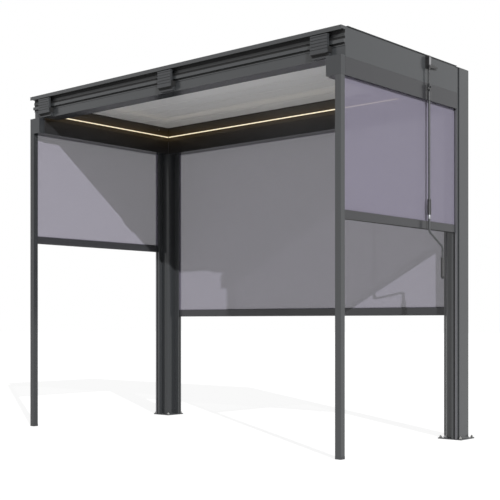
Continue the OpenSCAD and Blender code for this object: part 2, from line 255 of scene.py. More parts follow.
def cleared_tree(owner, output):
    """The empty node tree of a material or world, and the socket that its surface goes to."""
    owner.use_nodes = True
    tree = owner.node_tree
    tree.nodes.clear()
    return tree, tree.nodes.new(output).inputs["Surface"]


def new_material(name):
    material = bpy.data.materials.new(name)
    tree, surface = cleared_tree(material, "ShaderNodeOutputMaterial")
    shader = tree.nodes.new("ShaderNodeBsdfPrincipled")
    tree.links.new(shader.outputs[0], surface)
    return material, tree, shader


def use_group(tree, group, **values):
    """A group in a material, with its inputs by name; an underscore stands for a space."""
    node = add_node(tree, "ShaderNodeGroup", node_tree=group)
    return feed(tree, node, {name.replace("_", " "): value for name, value in values.items()}).outputs


def bump(tree, height, distance, strength=1.0):
    inputs = {"Height": height, "Distance": distance, "Strength": strength}
    return add_node(tree, "ShaderNodeBump", inputs).outputs[0]


GLOSS_ROUGHNESS = 0.09
LINE_SHADE, LINE_HEIGHT = 0.03, 0.2
METAL_LINE_SHADE = 0.3
# How much painted shade darkens the faces inside the frame, and the colour of the strips' painted glow.
INSIDE_SHADE = 0.5
PAINTED_GLOW_COLOUR = (1.0, 0.56, 0.06)


def coated(
    name, colour, roughness, ior=1.5, grain=900.0, drift=0.06, dust=0.1, depth=0.05 * MM,
    lines=None, gloss=0.0, glow=None
):
    """Powder-coated or painted metal.

    lines is how fast drawn lines change along x, y and z, and gloss a thin clear layer on top.
    glow is the strength of a painted glow that stands in for the strips' light on it; the faces inside the
    frame then also take painted shade, which makes them darker.
    """
    material, tree, shader = new_material(name)
    coat = use_group(
        tree, POWDER_COAT, Colour=(*colour, 1), Grain_Scale=grain, Drift=drift, Roughness=roughness, Dust=dust
    )
    shown, height = coat["Colour"], coat["Height"]
    if lines:
        drawn = use_group(tree, DRAWN_LINES, Across=lines, Depth=LINE_SHADE)
        shown = scaled(tree, shown, drawn["Shade"])
        height = math_node(tree, "MULTIPLY_ADD", drawn["Height"], LINE_HEIGHT, height)
    # Painted light: a glow that stands in for the strips' light, and painted shade that darkens the faces
    # inside the frame.
    if glow:
        painted_strip_light = use_group(
            tree, PAINTED_STRIP_GLOW, Height=STRIP_Z, Reach=STRIP_REACH, Inside_X=STRIP_X, Inside_Y=STRIP_Y
        )
        painted_glow_colour = scaled(tree, PAINTED_GLOW_COLOUR, painted_strip_light["Glow"])
        feed(tree, shader, {"Emission Color": painted_glow_colour, "Emission Strength": glow})
        shade = math_node(tree, "MULTIPLY_ADD", painted_strip_light["Inside"], -INSIDE_SHADE, 1.0)
        shown = scaled(tree, shown, shade)
    values = {
        "Base Color": shown,
        "Roughness": coat["Roughness"],
        "IOR": ior,
        "Coat Weight": gloss,
        "Coat Roughness": GLOSS_ROUGHNESS,
        "Normal": bump(tree, height, depth),
    }
    feed(tree, shader, values)
    return material


def bare_metal(name, colour, roughness, lines):
    """Metal with no coat; lines is how fast its drawn lines change along x, y and z."""
    material, tree, shader = new_material(name)
    drawn = use_group(tree, DRAWN_LINES, Across=lines, Depth=METAL_LINE_SHADE)
    values = {
        "Base Color": scaled(tree, colour, drawn["Shade"]),
        "Roughness": math_node(tree, "MULTIPLY", drawn["Shade"], roughness),
        "Metallic": 1.0,
        "Normal": bump(tree, drawn["Height"], 0.02 * MM),
    }
    feed(tree, shader, values)
    return material


def moulded(name, colour, roughness, grain=1400.0, depth=0.08 * MM):
    """Moulded plastic, rubber or brush, which drifts more in shade than a coat and holds less dust."""
    return coated(name, colour, roughness, grain=grain, drift=0.1, dust=0.08, depth=depth)


def screen_cloth(name, colour, yarn_cover, hole_cover):
    """Open mesh: the covers are how much of the light a yarn and a hole stop."""
    material, tree, shader = new_material(name)
    covers = {"Yarn_Cover": yarn_cover, "Hole_Cover": hole_cover}
    weave = use_group(tree, WEAVE, Pitch=WEAVE_PITCH, Slub=WEAVE_SLUB, **covers)
    values = {
        "Base Color": scaled(tree, colour, weave["Shade"]),
        "Alpha": weave["Cover"],
        "Roughness": 0.75,
        "Specular IOR Level": 0.25,
        "Sheen Weight": 0.08,
        "Normal": bump(tree, weave["Height"], 0.12 * MM, 0.6),
    }
    feed(tree, shader, values)
    return material


def glowing(name, colour, strength):
    """Opal diffuser, a little uneven along its length."""
    material, tree, shader = new_material(name)
    spots = noise(tree, object_place(tree), scale=40.0, detail=1.0)
    values = {
        "Emission Color": scaled(tree, colour, remap(tree, spots, 0.3, 0.7, 0.94, 1.06)),
        "Base Color": mix_colour(tree, spots, (0.9, 0.86, 0.76, 1), (0.82, 0.78, 0.68, 1)),
        "Emission Strength": strength,
        "Roughness": 0.45,
    }
    feed(tree, shader, values)
    return material


strip_low, strip_high = box("left_light_strip")
STRIP_Z = (strip_low.z + strip_high.z) / 2
# How far the painted glow reaches from the strips' height, and the inner faces of the side and back beams
# that bound the faces with painted shade.
STRIP_REACH = 45 * MM
STRIP_X = box("right_beam")[0].x + 2 * MM
STRIP_Y = box("back_beam")[0].y + 2 * MM

frame_coat = coated("frame_coat", (0.040, 0.0425, 0.045), 0.2, ior=1.55)
# The beams and cassettes take the strips' painted glow, and painted shade on their faces inside the frame.
beam_coat = coated("beam_coat", (0.049, 0.052, 0.055), 0.2, ior=1.44, glow=0.03)
# A darker copy of the frame paint for the left wall guide alone: painted shade.
painted_shade_guide_coat = coated("painted_shade_guide_coat", (0.030, 0.032, 0.034), 0.2, ior=1.46)
end_coat = coated("end_coat", (0.030, 0.032, 0.035), 0.2, ior=1.52)
cassette_coat = coated("cassette_coat", (0.036, 0.0365, 0.0395), 0.24, ior=1.42, glow=0.016)
# A darker copy of the frame paint for the left post alone: painted shade.
painted_shade_post_coat = coated("painted_shade_post_coat", (0.028, 0.030, 0.032), 0.15, ior=1.42)
bracket_coat = coated("bracket_coat", (0.034, 0.036, 0.039), 0.3, grain=600.0, depth=0.08 * MM)
louver_coat = coated(
    "louver_coat", (0.93, 0.93, 0.92), 0.26, ior=1.4, drift=0.04, dust=0.12,
    lines=(0.6, 260.0, 260.0), gloss=0.34
)
louver_cap_plastic = moulded("louver_cap_plastic", (0.42, 0.42, 0.42), 0.45)
louver_seal = moulded("louver_seal", (0.66, 0.66, 0.66), 0.5)
guide_insert = coated("guide_insert", (0.11, 0.11, 0.12), 0.35, dust=0.0)
crank_coat = coated("crank_coat", (0.045, 0.047, 0.05), 0.28, grain=1500.0, dust=0.0)
black_steel = coated("black_steel", (0.018, 0.018, 0.019), 0.3, grain=1500.0, dust=0.0)
joint_steel = coated("joint_steel", (0.036, 0.037, 0.039), 0.26, grain=1500.0, dust=0.0)
black_plastic = moulded("black_plastic", (0.016, 0.016, 0.017), 0.42)
# A dark plastic for the strip on the rail's rib: painted shade.
rib_painted_shade = moulded("rib_painted_shade", (0.028, 0.029, 0.030), 0.42)
seal_rubber = moulded("seal_rubber", (0.006, 0.006, 0.006), 0.8, grain=700.0)
brush_hair = moulded("brush_hair", (0.012, 0.012, 0.013), 0.8, grain=3000.0)
dark_anodised = bare_metal("dark_anodised", (0.06, 0.06, 0.062), 0.35, (300.0, 300.0, 300.0))
zinc_steel = bare_metal("zinc_steel", (0.34, 0.34, 0.33), 0.34, (900.0, 900.0, 900.0))
satin_steel = bare_metal("satin_steel", (0.34, 0.34, 0.35), 0.3, (900.0, 900.0, 6.0))
chrome = bare_metal("chrome", (0.34, 0.35, 0.36), 0.32, (600.0, 600.0, 4.0))
shaded_cloth = screen_cloth("screen_cloth", (0.212, 0.197, 0.252), yarn_cover=0.655, hole_cover=0.44)
# A lighter copy of the screen cloth for the right screen, which faces the sun: painted light.
painted_sunlit_cloth = screen_cloth("painted_sunlit_cloth", (0.228, 0.212, 0.273), yarn_cover=0.67, hole_cover=0.46)
hem_cloth = screen_cloth("hem_cloth", (0.19, 0.175, 0.225), yarn_cover=0.7, hole_cover=0.6)
zip_tape = moulded("zip_tape", (0.03, 0.03, 0.033), 0.8, grain=2200.0, depth=0.2 * MM)
light_opal = glowing("light_opal", (1.0, 0.84, 0.55), 0.84)

# a finish is a material and the record's slot that it belongs to, if it has one
FRAME = (frame_coat, "frame_paint")
BEAM = (beam_coat, "frame_paint")
HOUSING = (cassette_coat, "frame_paint")
BRACKET = (bracket_coat, "bracket_paint")
LOUVER = (louver_coat, "louver_paint")
STEEL = (black_steel, "black_steel")
FORK = (joint_steel, "black_steel")
PLASTIC = (black_plastic, "black_plastic")
RUBBER = (seal_rubber, "black_plastic")
ZINC = (zinc_steel, None)
CHROME = (chrome, None)


# ---- meshes and pieces ----


def place_in_scene(name, mesh):
    obj = bpy.data.objects.new(name, mesh)
    bpy.context.scene.collection.objects.link(obj)
    return obj


BROAD_FACE = 12
ARC_SHARE = 0.45
CORNER_OVER = math.radians(30)
FACET_BELOW = math.radians(0.4)
BEVEL_SEGMENTS = 2


def soften(bm, below):
    """Smooth shading, but sharp at every edge over the angle and around every broad flat face."""
    area = {}
    for face in bm.faces:
        face.smooth = True
        area[face] = face.calc_area()
    for edge in bm.edges:
        smooth = edge.is_manifold and edge.calc_face_angle(0.0) < below
        if smooth:
            small, large = sorted(area[face] for face in edge.link_faces)
            smooth = large < BROAD_FACE * small
        edge.smooth = smooth


def to_mesh(bm, name, below=SMOOTH_BELOW):
    """The finished mesh; below is the largest angle in degrees that is shaded smooth."""
    bmesh.ops.recalc_face_normals(bm, faces=bm.faces[:])
    soften(bm, math.radians(below))
    mesh = bpy.data.meshes.new(name)
    bm.to_mesh(mesh)
    bm.free()
    return mesh


def piece(name, shape, finish, replaced=(), below=SMOOTH_BELOW, body="frame"):
    """One finished piece: its shape, its finish, what it stands for and the body that it rides on."""
    material, slot = finish
    mesh = to_mesh(shape, name, below) if isinstance(shape, bmesh.types.BMesh) else shape
    obj = place_in_scene(name, mesh)
    mesh.materials.clear()
    mesh.materials.append(material)
    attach(obj, body)
    if replaced:
        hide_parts(*replaced)
    return obj


def round_edges(bm, edges, radius):
    shape = {"offset": radius, "segments": BEVEL_SEGMENTS, "profile": 0.5, "clamp_overlap": True}
    bmesh.ops.bevel(bm, geom=edges, affect="EDGES", **shape)


def rounded_copy(node, radius):
    """The CAD solid again, with its facets joined and its corners rounded."""
    bm = bmesh.new()
    bm.from_mesh(frame["nodes"][node].data)
    bmesh.ops.remove_doubles(bm, verts=bm.verts[:], dist=SAME_POINT)
    bmesh.ops.dissolve_limit(bm, angle_limit=FACET_BELOW, verts=bm.verts[:], edges=bm.edges[:])
    if radius:
        sharp = [e for e in bm.edges if e.is_manifold and e.calc_face_angle(0.0) > CORNER_OVER]
        round_edges(bm, sharp, radius)
    return bm


def add_box(bm, low, high, radius=0.0):
    """A block between two corners, its edges rounded where a radius is given."""
    made = bmesh.ops.create_cube(bm, size=1.0)["verts"]
    low, high = Vector(low), Vector(high)
    size, middle = high - low, (high + low) / 2
    for v in made:
        v.co = Vector([middle[i] + v.co[i] * size[i] for i in range(3)])
    if radius:
        round_edges(bm, list(dict.fromkeys(e for v in made for e in v.link_edges)), radius)
    return bm


def in_mm(pairs):
    """Pairs of millimetres as pairs of metres."""
    return [(a * MM, b * MM) for a, b in pairs]


def drawn_from(pairs, u, v, u_way=1, v_way=1):
    """Points in millimetres from a corner (u, v), each way forwards or backwards."""
    return [(u + u_way * a * MM, v + v_way * b * MM) for a, b in pairs]


def add_loft(bm, rings):
    """A closed solid through rings of equal length, each a list of points."""
    rings = [[bm.verts.new(p) for p in ring] for ring in rings]
    count = len(rings[0])
    for low, high in zip(rings, rings[1:]):
        for i in range(count):
            j = (i + 1) % count
            bm.faces.new((low[i], low[j], high[j], high[i]))
    bm.faces.new(rings[0][::-1])
    bm.faces.new(rings[-1])
    return bm


def add_turned(bm, profile, axis, base, sides):
    """A turned solid from (radius, height) pairs along an axis that starts at base."""
    turn = Vector((0, 0, 1)).rotation_difference(Vector(axis)).to_matrix()
    rings = []
    for radius, height in profile:
        ring = []
        for i in range(sides):
            angle = 2 * math.pi * i / sides
            point = Vector((radius * math.cos(angle), radius * math.sin(angle), height))
            ring.append(Vector(base) + turn @ point)
        rings.append(ring)
    return add_loft(bm, rings)


def add_prism(bm, outline, axis, start, end):
    """An outline of (u, v) points extruded along x, y or z, with u and v the other two axes."""
    others = [i for i in range(3) if i != axis]
    rings = []
    for place in (start, end):
        ring = []
        for u, v in outline:
            point = [0.0, 0.0, 0.0]
            point[axis], point[others[0]], point[others[1]] = place, u, v
            ring.append(point)
        rings.append(ring)
    return add_loft(bm, rings)


def rounded_outline(points, radius, steps=3):
    """The corners of a closed outline turned into short arcs."""
    out = []
    count = len(points)
    for i in range(count):
        here, before, after = Vector(points[i]), Vector(points[i - 1]), Vector(points[(i + 1) % count])
        to_before, to_after = (before - here), (after - here)
        cut = min(radius, to_before.length * ARC_SHARE, to_after.length * ARC_SHARE)
        a, b = here + to_before.normalized() * cut, here + to_after.normalized() * cut
        for k in range(steps + 1):
            t = k / steps
            out.append(tuple((1 - t) ** 2 * a + 2 * t * (1 - t) * here + t**2 * b))
    return out


def mirrored(bm):
    """A copy of the whole mesh on the other side of x = 0, turned the right way round."""
    copies = bmesh.ops.duplicate(bm, geom=bm.verts[:] + bm.edges[:] + bm.faces[:])["geom"]
    verts = [g for g in copies if isinstance(g, bmesh.types.BMVert)]
    bmesh.ops.scale(bm, vec=(-1, 1, 1), verts=verts)
    bmesh.ops.reverse_faces(bm, faces=[g for g in copies if isinstance(g, bmesh.types.BMFace)])
    return bm


# ---- geometry nodes ----


def new_geometry_tree(name, inputs):
    """A geometry tree with its sockets, and the outputs of its input node."""
    tree = bpy.data.node_groups.new(name, "GeometryNodeTree")
    tree.interface.new_socket("Geometry", in_out="INPUT", socket_type="NodeSocketGeometry")
    for label, kind in (*inputs, ("Finish", "NodeSocketMaterial")):
        tree.interface.new_socket(label, in_out="INPUT", socket_type=kind)
    tree.interface.new_socket("Geometry", in_out="OUTPUT", socket_type="NodeSocketGeometry")
    return tree, tree.nodes.new("NodeGroupInput").outputs


def end_tree(tree, given, geometry):
    """The end of a tree: its instances made real and painted with the given finish."""
    real = add_node(tree, "GeometryNodeRealizeInstances", {"Geometry": geometry}).outputs[0]
    inputs = {"Geometry": real, "Material": given["Finish"]}
    painted = add_node(tree, "GeometryNodeSetMaterial", inputs).outputs[0]
    add_node(tree, "NodeGroupOutput", {"Geometry": painted})
    return tree


def parts_at_points_tree():
    """A part at every point of the base mesh, all of one size."""
    tree, given = new_geometry_tree("parts_at_points", [("Part", "NodeSocketObject"), ("Size", FLOAT)])
    part = add_node(tree, "GeometryNodeObjectInfo", {"Object": given["Part"]}).outputs["Geometry"]
    inputs = {"Points": given["Geometry"], "Instance": part, "Scale": given["Size"]}
    return end_tree(tree, given, add_node(tree, "GeometryNodeInstanceOnPoints", inputs).outputs[0])


def extruded_outline_tree():
    """The flat outline in the base mesh extruded along x, then set at its number's place in a row."""
    tree, given = new_geometry_tree(
        "extruded_outline",
        [("Length", FLOAT), ("Number", "NodeSocketInt"), ("Pitch", FLOAT), ("First", VECTOR)],
    )
    along = add_node(tree, "ShaderNodeCombineXYZ", {"X": given["Length"]}).outputs[0]
    inputs = {"Mesh": given["Geometry"], "Offset": along, "Individual": False}
    raised = add_node(tree, "GeometryNodeExtrudeMesh", inputs).outputs["Mesh"]
    foot = add_node(tree, "GeometryNodeFlipFaces", {"Mesh": given["Geometry"]}).outputs[0]
    both = tree.nodes.new("GeometryNodeJoinGeometry")
    tree.links.new(raised, both.inputs[0])
    tree.links.new(foot, both.inputs[0])
    inputs = {"Geometry": both.outputs[0], "Distance": SAME_POINT}
    closed = add_node(tree, "GeometryNodeMergeByDistance", inputs).outputs[0]
    back = math_node(tree, "MULTIPLY", given["Length"], -0.5)
    step = math_node(tree, "MULTIPLY", given["Number"], given["Pitch"])
    shift = add_node(tree, "ShaderNodeCombineXYZ", {"X": back, "Y": step}).outputs[0]
    inputs = {0: shift, 1: given["First"]}
    place = add_node(tree, "ShaderNodeVectorMath", inputs, operation="ADD").outputs[0]
    inputs = {"Geometry": closed, "Translation": place}
    return end_tree(tree, given, add_node(tree, "GeometryNodeTransform", inputs).outputs[0])


PARTS_AT_POINTS = parts_at_points_tree()
EXTRUDED_OUTLINE = extruded_outline_tree()


def grown(base, tree, **values):
    """The plain mesh that a geometry tree makes from a base mesh and its named inputs."""
    holder = place_in_scene("holder", base)
    modifier = holder.modifiers.new("grow", "NODES")
    modifier.node_group = tree
    sockets = {s.name: s.identifier for s in tree.interface.items_tree if s.in_out == "INPUT"}
    for name, value in values.items():
        modifier[sockets[name]] = value
    shown = holder.evaluated_get(bpy.context.evaluated_depsgraph_get())
    mesh = bpy.data.meshes.new_from_object(shown)
    bpy.data.objects.remove(holder)
    return mesh


def at_points(points, part, material):
    """The part at each point, as one plain mesh."""
    holder = place_in_scene("part", part)
    mesh = bpy.data.meshes.new("points")
    mesh.from_pydata([tuple(p) for p in points], [], [])
    mesh = grown(mesh, PARTS_AT_POINTS, Part=holder, Size=1.0, Finish=material)
    bpy.data.objects.remove(holder)
    return mesh


# ---- the frame's sizes ----

X, Y, Z = 0, 1, 2
UP = (0, 0, 1)
SIDES = (-1, 1)

side_low, side_high = box("right_beam")
post_low, post_high = box("rear_right_post")
rail_low, rail_high = box("wall_rail")
guide_low, guide_high = box("wall_right_guide")
rear_low, rear_high = box("rear_right_guide")
plate_low, plate_high = box("rear_right_base_plate")
gear_low, gear_high = box("crank_gearbox")

x_out, x_in = side_high.x, side_low.x
y_post, y_rear = post_low.y, post_high.y
z_beam, z_post = side_low.z, post_high.z
z_cassette = box("right_cassette")[0].z
z_plate = plate_high.z
guide_w = guide_high.x - guide_low.x


# ---- profiles of the frame ----

ONE, BOTH = ("",), ("left", "right")
RUNS = {"left": Y, "right": Y, "back": X}
# piece, CAD node, the sides that have it, radius of its corners in millimetres and finish
PROFILES = (
    ("wall_beam_profile", "wall_beam", ONE, 1.5, FRAME),
    ("{}_beam_profile", "{}_beam", ("back", *BOTH), 0.8, BEAM),
    # The left post takes the darker copy of the frame paint, painted shade; the right post the plain frame
    # paint.
    ("{}_post_tube", "rear_{}_post", ("left",), 1.5, (painted_shade_post_coat, "frame_paint")),
    ("{}_post_tube", "rear_{}_post", ("right",), 1.5, FRAME),
    ("{}_foot_plate", "rear_{}_base_plate", BOTH, 1.0, FRAME),
    ("{}_cassette_housing", "{}_cassette", RUNS, 1.0, HOUSING),
    ("{}_end_cover", "{}_end_block", BOTH, 1.6, (end_coat, "frame_paint")),
    # The left wall guide takes the darker copy of the frame paint, painted shade; the right one the plain
    # frame paint.
    ("wall_{}_guide_rail", "wall_{}_guide", ("left",), 1.6, (painted_shade_guide_coat, "frame_paint")),
    ("wall_{}_guide_rail", "wall_{}_guide", ("right",), 1.6, FRAME),
    ("rear_{}_guide_rail", "rear_{}_guide", BOTH, 1.6, FRAME),
    ("back_{}_guide_rail", "back_{}_guide", BOTH, 1.6, FRAME),
    ("{}_bar_profile", "{}_bottom_bar", RUNS, 3.0, HOUSING),
    ("crank_gear_housing", "crank_gearbox", ONE, 1.2, STEEL),
    ("crank_link_fork", "crank_link", ONE, 0.6, FORK),
    ("crank_joint_tongue", "crank_joint", ONE, 0.6, FORK),
    ("crank_rod", "crank_tube", ONE, 0.0, (crank_coat, "crank_paint")),
)
for name, pattern, sides, radius, finish in PROFILES:
    for side in sides:
        node = pattern.format(side)
        body = body_of(frame["nodes"][node])[0]
        piece(name.format(side), rounded_copy(node, radius * MM), finish, (node,), body=body)


# ---- posts and feet ----

POST_ROUND = 38 * MM
ROUND_STEPS = 12
CAP_OVER = 33 * MM
CAP_THICK = 3 * MM
CAP_BEVEL = 0.8 * MM
ANCHOR_IN = 13 * MM


def post_outline(inset):
    """Outline of the right post, x then y, drawn in or out by an inset."""
    middle = Vector((x_in + POST_ROUND, y_post + POST_ROUND))
    radius = POST_ROUND - inset
    points = []
    for i in range(ROUND_STEPS + 1):
        angle = math.pi + i * math.pi / (2 * ROUND_STEPS)
        points.append((middle.x + radius * math.cos(angle), middle.y + radius * math.sin(angle)))
    points.append((x_out - inset, y_post + inset))
    points.append((x_out - inset, y_rear - inset))
    points.append((x_in + inset, y_rear - inset))
    return points


def levels(z, *steps):
    """Post outlines at several heights, from (inset, rise over z) pairs in millimetres."""
    return [[(x, y, z + up) for x, y in post_outline(inset)] for inset, up in in_mm(steps)]


caps = bmesh.new()
add_loft(caps, levels(z_post, (1, 0), (1, 2.4), (2.5, 4)))
low = (x_out - guide_w + 1 * MM, y_post - CAP_OVER, z_post)
high = (x_out - 1 * MM, y_post + 0.5 * MM, z_post + CAP_THICK)
add_box(caps, low, high, CAP_BEVEL)
low = (x_in - CAP_OVER, y_rear - guide_w + 1 * MM, z_post)
high = (x_in + 0.5 * MM, y_rear - 1 * MM, z_post + CAP_THICK)
add_box(caps, low, high, CAP_BEVEL)
piece("post_caps", mirrored(caps), PLASTIC)

welds = add_loft(bmesh.new(), levels(z_plate, (-5, 0), (-3.2, 2), (-0.3, 5)))
piece("post_foot_welds", mirrored(welds), FRAME, below=BEAD_BELOW)


def base_bolt():
    """Washer, hexagon nut and the rounded end of the stud."""
    bm = bmesh.new()
    washer = [(10, 0), (10.5, 0.5), (10.5, 1.6), (10, 2)]
    nut = [(9.2, 2), (9.8, 2.6), (9.8, 9.2), (9, 10)]
    stud = [(5, 10), (5, 15), (3.8, 16.2)]
    for profile, sides in ((washer, 20), (nut, 6), (stud, 14)):
        add_turned(bm, in_mm(profile), UP, (0, 0, 0), sides)
    return to_mesh(bm, "base_bolt", NUT_BELOW)


bolt_points = [
    (side * x, y, z_plate)
    for side in SIDES
    for x in (plate_low.x + ANCHOR_IN, plate_high.x - ANCHOR_IN)
    for y in (plate_low.y + ANCHOR_IN, plate_high.y - ANCHOR_IN)
]
piece("base_plate_bolts", at_points(bolt_points, base_bolt(), zinc_steel), ZINC)


# ---- wall brackets and rail ----

# the bracket's section: millimetres back from its front and down from its top
FRONT_THICK = 15
GROOVES, GROOVE_PITCH, GROOVE_WIDE, GROOVE_DEEP, FIRST_GROOVE = 5, 19, 5, 4, 12
HOOK_THICK, HOOK_FOOT = 6, 73
FOOT, FOOT_BACK, CHEEK_FOOT = 113, 20, 101
CHEEK_WIDE, CHEEK_IN, CHEEK_SKIN = 6 * MM, 7 * MM, 0.2 * MM
SCREW_OUT, SCREWS_DOWN = 42, (40.5, 78.5)


def bracket_outline(depth, tall):
    """The ribbed front, the open foot below and the two hooks behind."""
    outline = [(0, 0)]
    for i in range(GROOVES):
        at = FIRST_GROOVE + i * GROOVE_PITCH
        top, foot = at - GROOVE_WIDE / 2, at + GROOVE_WIDE / 2
        outline += [(0, top), (GROOVE_DEEP, top), (GROOVE_DEEP, foot), (0, foot)]
    outline += [(0, FOOT), (FOOT_BACK, FOOT + 3), (FOOT_BACK, tall), (depth, tall), (depth, HOOK_FOOT)]
    outline += [(FRONT_THICK, HOOK_FOOT), (FRONT_THICK, HOOK_THICK), (depth, HOOK_THICK), (depth, 0)]
    return rounded_outline(outline, 0.9, 2)


def wall_block(side):
    """A ribbed bracket over the rail, with cheeks on both sides, and dark blocks on its lower sides and under
    its foot that are painted shade.
    """
    name, node = f"wall_{side}_bracket_block", f"wall_bracket_{side}"
    low, high = box(node)
    outline = bracket_outline((high.y - low.y) / MM, (high.z - low.z) / MM)
    bm = bmesh.new()
    points = drawn_from(outline, low.y, high.z, 1, -1)
    add_prism(bm, points, X, low.x + 4 * MM, high.x - 4 * MM)
    # cheeks, each from its front, foot, back and top
    inner, skin = low.y + CHEEK_IN, CHEEK_SKIN
    cheeks = (
        (inner, high.z - 5 * MM, high.y - skin, high.z - skin),
        (inner, high.z - CHEEK_FOOT * MM, low.y + FRONT_THICK * MM, high.z - 4 * MM),
        (low.y + skin, high.z - FOOT * MM, high.y - skin, high.z - CHEEK_FOOT * MM),
    )
    for a, b in ((low.x, low.x + CHEEK_WIDE), (high.x - CHEEK_WIDE, high.x)):
        for front, foot, back, top in cheeks:
            add_box(bm, (a, front, foot), (b, back, top), 0.6 * MM)
    piece(name, bm, BRACKET, (node,))

    # Dark blocks on the lower sides and under the foot are painted shade.
    painted_shade_pads = bmesh.new()
    front, foot = low.y + 5 * MM, high.z - (FOOT - 1) * MM
    for a, b in ((low.x - 0.8 * MM, low.x + 1 * MM), (high.x - 1 * MM, high.x + 0.8 * MM)):
        add_box(painted_shade_pads, (a, front, foot), (b, high.y - 0.4 * MM, high.z - 75 * MM), 0.5 * MM)
    for start, end, drop in ((2, 21, 4), (13, 24, 13)):
        a = (low.x + CHEEK_WIDE, low.y + start * MM, high.z - (FOOT + drop) * MM)
        add_box(painted_shade_pads, a, (high.x - CHEEK_WIDE, low.y + end * MM, foot), 0.8 * MM)
    piece(f"{name}_pads", painted_shade_pads, RUBBER)


screw_points = []
for side in ("left", "middle", "right"):
    wall_block(side)
    low, high = box(f"wall_bracket_{side}")
    middle = (low.x + high.x) / 2
    for x in (-SCREW_OUT, SCREW_OUT):
        for down in SCREWS_DOWN:
            screw_points.append((middle + x * MM, low.y + 3.4 * MM, high.z - down * MM))

# flush head with a hexagon socket, facing -Y
BRACKET_SCREW = [(5.3, 0), (5.3, 3.2), (4.9, 3.6), (2.3, 3.6), (2.2, 1.6)]
screw = add_turned(bmesh.new(), in_mm(BRACKET_SCREW), (0, -1, 0), (0, 0, 0), 18)
screw = to_mesh(screw, "bracket_screw", NUT_BELOW)
piece("bracket_screws", at_points(screw_points, screw, bracket_coat), BRACKET)

# the rail's section: millimetres back from its front and down from its top
section = [(0, 0), (46, 0), (46, 114), (42, 114), (42, 97.5), (28, 97.5), (28, 76), (42, 76), (42, 60)]
section += [(38, 60), (38, 40), (42, 40), (42, 20), (3, 20), (3, 26.5), (0, 26.5)]
points = drawn_from(rounded_outline(section, 0.8, 2), rail_low.y, rail_high.z, 1, -1)
rail = add_prism(bmesh.new(), points, X, rail_low.x, rail_high.x)
piece("wall_rail_profile", rail, FRAME, ("wall_rail",))


def along_rail(bm, front, back, foot, top, radius=0.0):
    """A strip along the rail, between two places in y and two heights down from its top."""
    a = (rail_low.x + 2 * MM, front, rail_high.z - foot * MM)
    b = (rail_high.x - 2 * MM, back, rail_high.z - top * MM)
    add_box(bm, a, b, radius)


# Dark sheets in the rail's recess, under its flange and under its ridge, and a dark strip on its rib, are
# painted shade.
recess = bmesh.new()
web_y = rail_high.y - 4 * MM
along_rail(recess, rail_low.y + 4 * MM, web_y, 21.4, 20)
for top, foot in ((20, 40), (60, 76), (97.5, 106)):
    along_rail(recess, web_y - 1.4 * MM, web_y, foot, top)
piece("rail_recess_rubber", recess, RUBBER)
strip = bmesh.new()
along_rail(strip, rail_high.y - 8.8 * MM, rail_high.y - 7.6 * MM, 59.4, 40.6, 0.5 * MM)
piece("rail_rib_strip", strip, (rib_painted_shade, "black_plastic"))

BEAM_SCREW = [(4.2, 0), (4.2, 0.8), (3.4, 2.0), (1.6, 2.6)]
BEAM_SCREW_IN, BEAM_SCREW_UP = 114 * MM, 86 * MM
CORNER_BEAD = [(1.2, 0), (2.0, 1), (2.0, 103), (1.2, 104)]
BEAD_IN, BEAD_UP = 1.4 * MM, 3 * MM
screws, beads = bmesh.new(), bmesh.new()
for side in SIDES:
    base = (side * x_in, y_post - BEAM_SCREW_IN, z_beam + BEAM_SCREW_UP)
    add_turned(screws, in_mm(BEAM_SCREW), (-side, 0, 0), base, 16)
    base = (side * (x_in - BEAD_IN), y_post - BEAD_IN, z_cassette + BEAD_UP)
    add_turned(beads, in_mm(CORNER_BEAD), UP, base, 12)
piece("beam_stop_screws", screws, CHROME, below=BEAD_BELOW)
piece("corner_beads", beads, (dark_anodised, None), below=BEAD_BELOW)

sleeve_low = (guide_low.x - 0.7 * MM, guide_low.y + 0.5 * MM, 0.8 * MM)
sleeve_high = (guide_high.x + 0.7 * MM, guide_high.y + 0.7 * MM, 18 * MM)
sleeves = add_box(bmesh.new(), sleeve_low, sleeve_high, 1.4 * MM)
piece("guide_foot_sleeves", mirrored(sleeves), HOUSING)


# ---- light strips ----

# sections of the lens and its channel: millimetres back from the strip's face and up from its middle
LENS = [(0.6, -4), (0.2, -2), (0.1, 0), (0.2, 2), (0.6, 4), (5.4, 4), (5.4, -4)]
CHANNEL = [(-0.3, -5.8), (5.9, -5.8), (5.9, 5.8), (-0.3, 5.8)]
CHANNEL += [(-0.3, 4.3), (5.5, 4.3), (5.5, -4.3), (-0.3, -4.3)]
LENS_BELOW = 30


def lens_and_channel(side, axis):
    """Opal lens in a thin channel; the open face looks into the pergola."""
    node = f"{side}_light_strip"
    low, high = box(node)
    face, back = (high[1 - axis], -1) if side == "left" else (low[1 - axis], 1)
    middle = (low.z + high.z) / 2
    start, end = low[axis] + 0.4 * MM, high[axis] - 0.4 * MM
    for name, section, cut, finish, replaced in (
        (f"{side}_light_lens", LENS, 3 * MM, (light_opal, "light"), (node,)),
        (f"{side}_light_channel", CHANNEL, 0.0, (dark_anodised, "frame_paint"), ()),
    ):
        points = drawn_from(section, face, middle, back)
        bm = add_prism(bmesh.new(), points, axis, start + cut, end - cut)
        piece(name, bm, finish, replaced, LENS_BELOW)


for side, axis in RUNS.items():
    lens_and_channel(side, axis)


# ---- louvers ----

LOUVERS = [f"louver_{i + 1}" for i in range(7)]
LAST = len(LOUVERS) - 1
LIP = 16 * MM
PIN_OUT = 20 * MM
GUTTER_IN, GUTTER_WIDE, GUTTER_DEEP = 6 * MM, 14 * MM, 12 * MM
CAP_DEEP, CAP_WIDE, CAP_TALL = 2.4 * MM, 0.995, 0.97
SEAL_UP = 4.2 * MM
